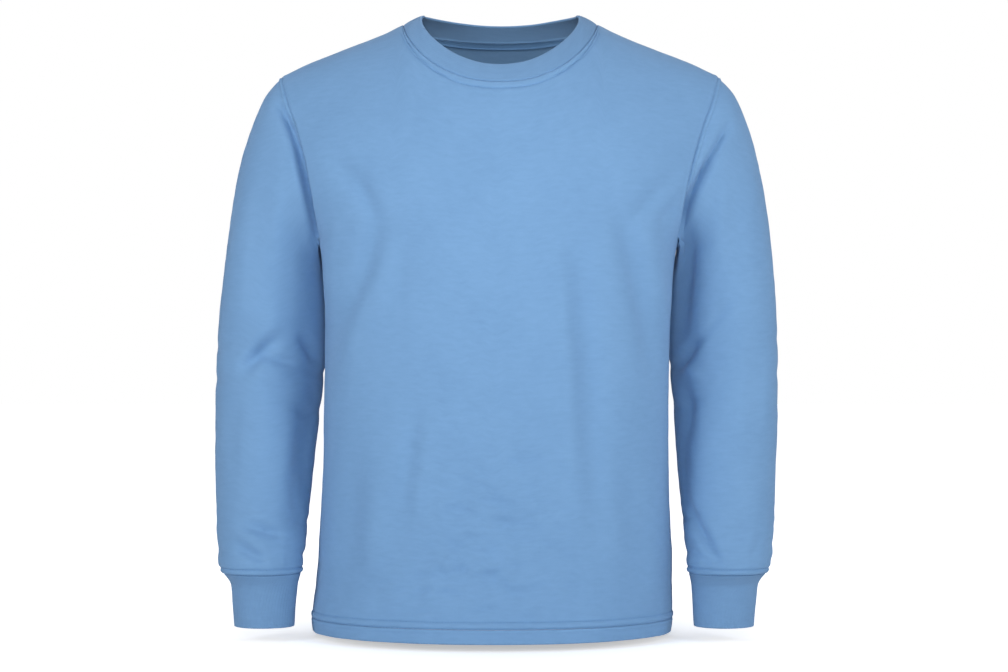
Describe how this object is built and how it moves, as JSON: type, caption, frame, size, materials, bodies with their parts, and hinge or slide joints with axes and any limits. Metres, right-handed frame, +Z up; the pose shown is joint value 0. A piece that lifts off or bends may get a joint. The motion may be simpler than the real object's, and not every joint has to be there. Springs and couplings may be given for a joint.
{
  "type": "crewneck sweatshirt",
  "caption": "Light blue crewneck sweatshirt filled out as worn: hollow body with set-in long sleeves, rib neckband, plain rib cuffs and a narrow hem band",
  "frame": {"origin": "midway between the two points where the shoulder seams meet the neckband, where the wearer's shoulders carry the garment", "axes": "+Z up, -Y the way the garment's front faces, +X the wearer's left"},
  "size_m": [0.6356, 0.248, 0.6908],
  "materials": {
    "jersey": "matte light blue cotton sweatshirt jersey, fine vertical wales with slightly uneven dye",
    "rib": "matte light blue cotton rib for the neckband and cuffs",
    "tape": "matte blue cotton tape over the inside of the back neck seam"
  },
  "bodies": {
    "root": {"front_panel": "jersey", "back_panel": "jersey", "sleeve_left": "jersey", "sleeve_right": "jersey", "cuff_left": "rib", "cuff_right": "rib", "neckband": "rib", "neck_tape": "tape", "hem_band_front": "jersey", "hem_band_back": "jersey"}
  },
  "joints": []
}
